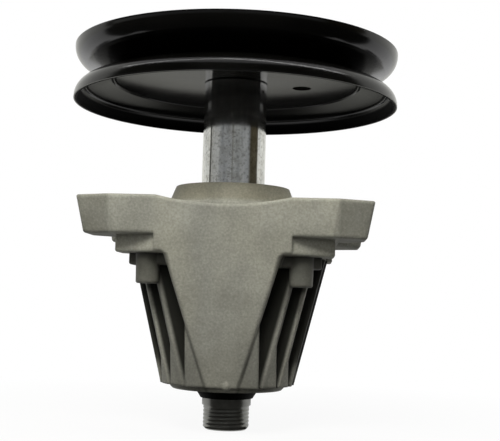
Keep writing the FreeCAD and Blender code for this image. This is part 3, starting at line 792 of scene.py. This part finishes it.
def shade_and_oil_tone(tree):
    """Painted shade by height, darker towards the foot, with the oil-brown collar painted darker too,
    and painted shade on the ends of the ears.
    """
    x, _, z = surface_place(tree)
    unit = map_range(tree, z, V_FOOT, SHADE_RAMP_TOP)
    aside = math_node(tree, "ABSOLUTE", x)
    end = map_range(tree, aside, EAR_END, EAR_END + EAR_END_FADE, 0.0, EAR_END_SHADE_SHARE)
    return mix_colour(tree, end, ramp(tree, unit, SHADE_AND_OIL_STOPS), BLACK)


def make_cast_aluminium():
    """Base colour times painted shade by height, clouds and grain, then flecks, and painted shade under
    the steps and in the pockets over it.
    """
    material, tree, shader = principled("cast_aluminium", metallic=0.15)
    skin = tone(tree, slow=55.0, fine=1000.0, fleck=0.66)
    broad = tone(tree, slow=45.0, fine=320.0, fleck=0.70, stretch=(1, 1, 0.25))
    colour = two_tone(tree, broad["Tone"], *CAST_COLOURS)
    clouds = two_tone(tree, skin["Tone"], *CLOUD_FACTORS)
    grain = two_tone(tree, skin["Grain"], *GRAIN_FACTORS)
    # Painted shade by height and on the ends of the ears, with the oil-brown collar, multiplies the
    # colour.
    for factor in (shade_and_oil_tone(tree), clouds, grain):
        colour = mix_colour(tree, 1.0, colour, factor, "MULTIPLY")
    colour = mix_colour(tree, share(tree, skin["Fleck"], FLECK_SHARE), colour, FLECK_COLOUR)
    # Painted shade beside the V wall under the steps, along its edges and on the side fins.
    colour = mix_colour(tree, share(tree, under_step_shade_mask(tree), UNDER_STEP_SHADE_SHARE), colour, UNDER_STEP_SHADE_COLOUR)
    # Painted shade: the pockets between the fins are darkened in the colour.
    colour = mix_colour(tree, share(tree, pocket_shade_mask(tree), POCKET_SHADE_SHARE), colour, POCKET_SHADE_COLOUR)
    tree.links.new(colour, shader.inputs["Base Color"])
    roughness(tree, shader, skin["Grain"], low=0.58, high=0.72)
    bump(tree, shader, skin["Grain"], strength=0.11, distance=0.00025, edge_radius=CAST_EDGE_RADIUS)
    return material


cast_aluminium = make_cast_aluminium()
print("finish:", cast_aluminium.name)

# %% [markdown]
# The pulley is dipped in black enamel. Less paint runs into the hollow under it, so it is satin there
# and the rolled lip stays black and matt. Two pressed corners round the hollow get a slight crease.
# Radius, height and facing find these places. Choosing faces by hand would do it too, but not after the
# next change of shape.

# %% Hollow under the pulley
LIP_INSIDE = 0.0788
WEB_LEVEL = 0.0617
DOWN_FACING = 0.1
WEB_CORNER_RADIUS = 0.0604
LIP_CORNER_RADIUS = 0.0740
CREASE_HALF_WIDTH = 0.0012
LIP_START = 0.0755
LIP_FADE = 0.0010


def under_pulley(tree, radius, z):
    """1 on the faces inside the lower half that don't look up, and 1 on its lip alone."""
    place = tree.nodes.new("ShaderNodeTexCoord")
    facing = tree.nodes.new("ShaderNodeSeparateXYZ")
    tree.links.new(place.outputs["Normal"], facing.inputs[0])
    down = math_node(tree, "LESS_THAN", facing.outputs["Z"], DOWN_FACING)
    low = math_node(tree, "LESS_THAN", z, WEB_LEVEL)
    inside = math_node(tree, "LESS_THAN", radius, LIP_INSIDE)
    hollow = math_node(tree, "MULTIPLY", inside, math_node(tree, "MULTIPLY", down, low))
    outermost = map_range(tree, radius, LIP_START, LIP_START + LIP_FADE)
    return hollow, math_node(tree, "MULTIPLY", hollow, outermost)


def crease(tree, radius, z, centre):
    """Height of a pressed-in corner below the web: one period of a cosine, lowest at the centre."""
    away = math_node(tree, "ABSOLUTE", math_node(tree, "SUBTRACT", radius, centre))
    turn = map_range(tree, away, 0.0, CREASE_HALF_WIDTH, math.pi, 0.0)
    dip = math_node(tree, "MULTIPLY_ADD", math_node(tree, "COSINE", turn), 0.5, -0.5)
    return math_node(tree, "MULTIPLY", dip, math_node(tree, "LESS_THAN", z, WEB_LEVEL))


print("creases at", WEB_CORNER_RADIUS, "and", LIP_CORNER_RADIUS, "from the axis")

# %% [markdown]
# Black paint is mostly reflection: its own colour is close to nothing, so the shape is read from the
# pale room at the edges of the groove. A faint ripple keeps the mirror from being perfect.

# %% Black enamel
ENAMEL_COLOURS = (0.0008, 0.0008, 0.0007), (0.0022, 0.0022, 0.0020)
ENAMEL_SPECULAR = 0.33
GLOSS_LOW = 0.10
GLOSS_HIGH = 0.20
LIP_LEVEL = 0.0484
FLANK_ROUGHNESS = 0.34
WEB_ROUGHNESS = 0.13
LIP_ROUGHNESS = 0.75
LIP_DULL = 0.9
RIPPLE_SHARE = 0.04


def make_black_enamel():
    """Near black with an orange-peel ripple: gloss outside, satin in the hollow, matt on the lip."""
    material, tree, shader = principled("black_enamel")
    x, y, z = surface_place(tree)
    radius = axis_distance(tree, x, y)
    film = tone(tree, slow=45.0, fine=420.0, fleck=0.7)
    tree.links.new(two_tone(tree, film["Tone"], *ENAMEL_COLOURS), shader.inputs["Base Color"])
    hollow, lip = under_pulley(tree, radius, z)
    gloss = map_range(tree, film["Tone"], 0.0, 1.0, GLOSS_LOW, GLOSS_HIGH)
    satin = map_range(tree, z, LIP_LEVEL, WEB_LEVEL, FLANK_ROUGHNESS, WEB_ROUGHNESS)
    dulled = math_node(tree, "MAXIMUM", math_node(tree, "MULTIPLY", satin, hollow), gloss)
    matt = math_node(tree, "MAXIMUM", dulled, share(tree, lip, LIP_ROUGHNESS))
    tree.links.new(matt, shader.inputs["Roughness"])
    tree.links.new(share(tree, lip, LIP_DULL), shader.inputs["Metallic"])
    shader.inputs["Specular IOR Level"].default_value = ENAMEL_SPECULAR
    ripple = share(tree, film["Tone"], RIPPLE_SHARE)
    web_corner = crease(tree, radius, z, WEB_CORNER_RADIUS)
    lip_corner = crease(tree, radius, z, LIP_CORNER_RADIUS)
    height = math_node(tree, "ADD", ripple, math_node(tree, "ADD", web_corner, lip_corner))
    bump(tree, shader, height, strength=0.75, distance=0.0009)
    return material


black_enamel = make_black_enamel()
print("finish:", black_enamel.name)

# %% [markdown]
# The spacer tube is drawn steel with a bright zinc plate. Drawing leaves streaks along the tube, so its
# noise is stretched along the shaft. The plate has dull clouds, a brown breath of rust and small pits.

# %% Plated steel
PLATE_COLOURS = (0.50, 0.51, 0.51), (0.78, 0.78, 0.75)
DULL_COLOUR = (0.40, 0.40, 0.38)
DULL_RANGE = (0.45, 0.70)
DULL_SHARE = 0.35
RUST_COLOUR = (0.30, 0.28, 0.23)
RUST_RANGE = (0.48, 0.72)
RUST_SHARE = 0.36
PIT_COLOUR = (0.12, 0.11, 0.09)
PIT_SHARE = 0.8


def make_plated_steel():
    """Bright metal with streaks along Z, dull clouds, a little rust and small dark pits."""
    material, tree, shader = principled("plated_steel", metallic=0.91)
    streak = tone(tree, slow=420.0, fine=1500.0, fleck=0.66, stretch=(1, 1, 0.06))
    cloud = tone(tree, slow=110.0, fine=520.0, fleck=0.60, stretch=(1, 1, 0.5))
    pits = tone(tree, slow=240.0, fine=800.0, fleck=0.52)
    dull = share(tree, map_range(tree, cloud["Tone"], *DULL_RANGE), DULL_SHARE)
    rust = share(tree, map_range(tree, pits["Tone"], *RUST_RANGE), RUST_SHARE)
    colour = two_tone(tree, streak["Tone"], *PLATE_COLOURS)
    colour = mix_colour(tree, dull, colour, DULL_COLOUR)
    colour = mix_colour(tree, rust, colour, RUST_COLOUR)
    colour = mix_colour(tree, share(tree, pits["Fleck"], PIT_SHARE), colour, PIT_COLOUR)
    tree.links.new(colour, shader.inputs["Base Color"])
    roughness(tree, shader, streak["Grain"], low=0.05, high=0.14)
    bump(tree, shader, streak["Grain"], strength=0.05, distance=0.0001)
    return material


plated_steel = make_plated_steel()
print("finish:", plated_steel.name)

# %% [markdown]
# The shaft is plain turned steel, dark with oil. The dust ring and the bearing seals are black rubber,
# and the bearing rings are ground bright. Each is a small variation on the same recipe: a tone, a
# grain, and how metal-like and how rough it is.

# %% Dark steel, rubber and ground steel
DARK_STEEL_COLOURS = (0.17, 0.17, 0.16), (0.25, 0.25, 0.235)
DARK_STEEL_ROUGHNESS = 0.30
RUBBER_COLOURS = (0.001, 0.001, 0.001), (0.004, 0.004, 0.0035)
RUBBER_ROUGHNESS = 0.75
RUBBER_SPECULAR = 0.08
GROUND_COLOURS = (0.46, 0.46, 0.45), (0.60, 0.60, 0.58)


def make_dark_steel():
    """Oiled dark steel for the shaft and the retaining rings."""
    material, tree, shader = principled("dark_steel", metallic=0.90)
    film = tone(tree, slow=120.0, fine=1300.0, fleck=0.7)
    tree.links.new(two_tone(tree, film["Tone"], *DARK_STEEL_COLOURS), shader.inputs["Base Color"])
    shader.inputs["Roughness"].default_value = DARK_STEEL_ROUGHNESS
    bump(tree, shader, film["Grain"], strength=0.08, distance=0.0001)
    return material


def make_matt_black():
    """Matt black rubber for the dust ring and the bearing seals."""
    material, tree, shader = principled("matt_black")
    film = tone(tree, slow=90.0, fine=1500.0, fleck=0.7)
    tree.links.new(two_tone(tree, film["Grain"], *RUBBER_COLOURS), shader.inputs["Base Color"])
    shader.inputs["Roughness"].default_value = RUBBER_ROUGHNESS
    shader.inputs["Specular IOR Level"].default_value = RUBBER_SPECULAR
    bump(tree, shader, film["Grain"], strength=0.10, distance=0.0002)
    return material


def make_ground_steel():
    """Bright steel with fine rings round the axis: noise that changes with height and hardly across."""
    material, tree, shader = principled("ground_steel", metallic=1.0)
    rings = tone(tree, slow=900.0, fine=2600.0, fleck=0.7, stretch=(0.05, 0.05, 1))
    tree.links.new(two_tone(tree, rings["Tone"], *GROUND_COLOURS), shader.inputs["Base Color"])
    roughness(tree, shader, rings["Grain"], low=0.15, high=0.30)
    bump(tree, shader, rings["Grain"], strength=0.05, distance=0.0001)
    return material


dark_steel = make_dark_steel()
matt_black = make_matt_black()
ground_steel = make_ground_steel()
print("finishes:", dark_steel.name, matt_black.name, ground_steel.name)

# %% [markdown]
# Every solid part now gets its finish. A word in the part's name chooses it, and a part that none of
# the words fits, such as the washer or the nut, is plated.

# %% Finishes on the solid parts
finish_by_word = {"housing": cast_aluminium, "pulley_upper": black_enamel, "pulley_lower": black_enamel,
                  "shaft": dark_steel, "retaining": dark_steel, "dust": matt_black, "seals": matt_black,
                  "balls": ground_steel, "inner_ring": ground_steel, "outer_ring": ground_steel}
for name, node in nodes.items():
    chosen = [finish for word, finish in finish_by_word.items() if word in name]
    node.data.materials.clear()
    node.data.materials.append(chosen[0] if chosen else plated_steel)
print("finished nodes:", len(nodes))

# %% [markdown]
# The threads are the one shape too fine for the solid part, where they are plain bars. The whole shaft
# is made again here as one skin, a radius for every height and angle. First comes its profile, as a
# lathe would turn it: heights and radii from the foot to the top, with more rows where a thread runs.

# %% Profile of the shaft
INCH = 0.0254
BLADE_PITCH = INCH / 14
DRIVE_PITCH = INCH / 16
BLADE_THREAD = (-0.1072, -0.0962)
DRIVE_THREAD = (0.0676, 0.0843)
PITCH_STEPS = 10
SHAFT_FOOT = -0.1074
BLADE_TOP = -0.0958
SHANK_TOP = -0.0885
SHOULDER_TOP = -0.0835
DRIVE_START = 0.0602
SHAFT_TOP = 0.0845
BLADE_RADIUS = 0.01111
SHANK_RADIUS = 0.0118
SHOULDER_RADIUS = 0.0152
JOURNAL_RADIUS = 0.0125
DRIVE_RADIUS = 0.0095
END_CHAMFER = 0.0013
SHAFT_PROFILE = [
    (SHAFT_FOOT, 0.0),
    (SHAFT_FOOT, BLADE_RADIUS - END_CHAMFER),
    (SHAFT_FOOT + END_CHAMFER, BLADE_RADIUS),
    (BLADE_TOP, BLADE_RADIUS),
    (BLADE_TOP, SHANK_RADIUS),
    (SHANK_TOP, SHANK_RADIUS),
    (SHANK_TOP, SHOULDER_RADIUS),
    (SHOULDER_TOP, SHOULDER_RADIUS),
    (SHOULDER_TOP, JOURNAL_RADIUS),
    (DRIVE_START, JOURNAL_RADIUS),
    (DRIVE_START, DRIVE_RADIUS),
    (SHAFT_TOP - END_CHAMFER, DRIVE_RADIUS),
    (SHAFT_TOP, DRIVE_RADIUS - END_CHAMFER),
    (SHAFT_TOP, 0.0),
]


def row_count(start, end):
    """Rows for one stretch of the profile: two, or several for each pitch where a thread runs."""
    for pitch, (low, high) in ((BLADE_PITCH, BLADE_THREAD), (DRIVE_PITCH, DRIVE_THREAD)):
        if start < high and end > low and end - start > pitch:
            return int((end - start) / pitch * PITCH_STEPS)
    return 2


def profile_rows():
    """Heights and radii along the profile, with extra rows where a thread runs."""
    heights, radii = [], []
    for (z0, r0), (z1, r1) in zip(SHAFT_PROFILE, SHAFT_PROFILE[1:]):
        count = row_count(z0, z1)
        heights.append(np.linspace(z0, z1, count))
        radii.append(np.linspace(r0, r1, count))
    return np.concatenate(heights), np.concatenate(radii)


print("profile points:", len(SHAFT_PROFILE))

# %% [markdown]
# A thread is a triangle wave whose phase climbs with the angle, and the two drive flats are a limit on
# the radius. Blender can also wind a thread with its Screw modifier, but that would have to be joined to
# the bar. Here thread, bar and flats are one formula.

# %% Threads and flats
BLADE_THREAD_DEPTH = 0.00022
DRIVE_THREAD_DEPTH = 0.00085
THREAD_STEEPNESS = 1.4
THREAD_CREST = 0.2
DRIVE_FLAT = 0.0076
SMALLEST_COSINE = 1e-6
SHAFT_COLUMNS = 120


def thread_cut(z, angle, pitch, depth, span):
    """Depth times a triangle wave of z / pitch minus the turn, faded out over one pitch at each end."""
    phase = (z / pitch - angle / (2 * np.pi)) % 1.0
    wave = np.clip(THREAD_STEEPNESS * (1 - np.abs(2 * phase - 1)) - THREAD_CREST, 0, 1)
    fade = np.clip((z - span[0]) / pitch, 0, 1) * np.clip((span[1] - z) / pitch, 0, 1)
    return depth * wave * fade


def make_shaft():
    """r(a, z) = profile minus both thread cuts, held inside the drive flats above the step."""
    heights, radii = profile_rows()
    angle = np.linspace(0, 2 * np.pi, SHAFT_COLUMNS, endpoint=False)
    a, z = np.meshgrid(angle, heights)
    profile = np.repeat(radii[:, None], SHAFT_COLUMNS, axis=1)
    cut = thread_cut(z, a, BLADE_PITCH, BLADE_THREAD_DEPTH, BLADE_THREAD)
    cut += thread_cut(z, a, DRIVE_PITCH, DRIVE_THREAD_DEPTH, DRIVE_THREAD)
    r = np.where(profile > 0, np.maximum(profile - cut, 0), 0)
    flat = DRIVE_FLAT / np.maximum(np.abs(np.cos(a)), SMALLEST_COSINE)
    drive_end = (z >= DRIVE_START) & (profile < JOURNAL_RADIUS)
    r = np.where(drive_end, np.minimum(r, flat), r)
    return grid_object("threaded_shaft", r * np.cos(a), r * np.sin(a), z, closed=True)


threaded_shaft = make_shaft()
print("shaft grid points:", len(threaded_shaft.data.vertices))

# %% [markdown]
# The grid has many equal points at its two poles and where a step repeats a row. They are merged, and
# faces without area are dropped, so the skin is closed. The new shaft then stands for the plain one and
# turns with the spindle.

# %% Shaft skin closed and put in place
MERGE_DISTANCE = 1e-6
SHARP_ANGLE = math.radians(38)


def merge_doubles(mesh):
    """Join the points of each pole and of equal rows, and drop faces that have no area."""
    work = bmesh.new()
    work.from_mesh(mesh)
    bmesh.ops.remove_doubles(work, verts=work.verts, dist=MERGE_DISTANCE)
    bmesh.ops.dissolve_degenerate(work, edges=work.edges, dist=MERGE_DISTANCE)
    bmesh.ops.recalc_face_normals(work, faces=work.faces)
    work.to_mesh(mesh)
    work.free()


shaft_mesh = threaded_shaft.data
merge_doubles(shaft_mesh)
shaft_mesh.shade_smooth()
shaft_mesh.set_sharp_from_angle(angle=SHARP_ANGLE)
shaft_mesh.materials.append(dark_steel)
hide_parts("spindle_shaft")
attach(threaded_shaft, "spindle")
print("shaft faces:", len(shaft_mesh.polygons))
